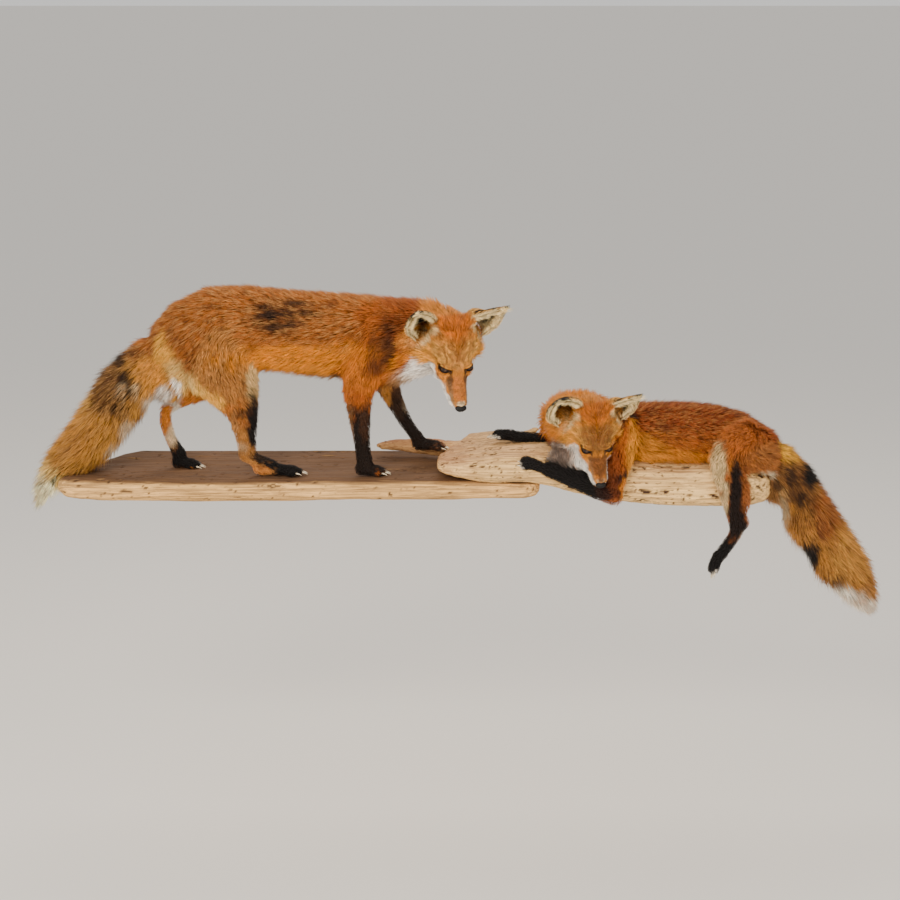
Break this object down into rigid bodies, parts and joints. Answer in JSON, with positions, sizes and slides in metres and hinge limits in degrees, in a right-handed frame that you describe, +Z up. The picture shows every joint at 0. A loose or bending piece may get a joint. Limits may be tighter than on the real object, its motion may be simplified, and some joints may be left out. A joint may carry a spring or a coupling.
{
  "type": "pair of taxidermy red foxes on driftwood",
  "caption": "Life-size mounted red foxes on driftwood with a flat back for a wall: one walks with its head low and turned, a smaller one lies down.",
  "frame": {"origin": "on the wall plane, at the sawn-flat back of the left driftwood board", "axes": "+X along the wall to the viewer's right, +Y into the wall, +Z up; the foxes look out towards -Y"},
  "size_m": [1.6129, 0.2893, 0.6383],
  "materials": {
    "red_coat": "dense orange-brown fur, grizzled on the back and pale on belly, throat and cheeks",
    "russet_coat": "deep russet fur, golden on shoulder and flank, black on the legs, pale tail tip",
    "brush_coat": "long golden-brown tail fur with dark guard hairs and a cream tip",
    "black_coat": "short black-brown fur on the lower legs and paws, with pale claws",
    "nose_leather": "fine-pebbled black nose leather, slightly moist-looking lacquer",
    "eye_glass": "polished dark brown glass eye, opaque",
    "driftwood_pale": "dry tan driftwood with open horizontal grain, greyer on top, unvarnished",
    "driftwood_bleached": "bleached, cracked and pitted driftwood, unvarnished"
  },
  "bodies": {
    "root": {"driftwood_board": "driftwood_pale", "driftwood_log": "driftwood_bleached", "fox_trunk": "red_coat", "fox_neck": "red_coat", "fox_head": "red_coat", "fox_nose": "nose_leather", "fox_eye_left": "eye_glass", "fox_eye_right": "eye_glass", "fox_ear_left": "red_coat", "fox_ear_right": "red_coat", "fox_tail": "brush_coat", "fox_hind_right_leg": "red_coat", "fox_hind_right_paw": "black_coat", "fox_hind_left_leg": "red_coat", "fox_hind_left_paw": "black_coat", "fox_fore_right_leg": "red_coat", "fox_fore_right_paw": "black_coat", "fox_fore_left_leg": "black_coat", "fox_fore_left_paw": "black_coat", "second_fox": "russet_coat"}
  },
  "joints": []
}
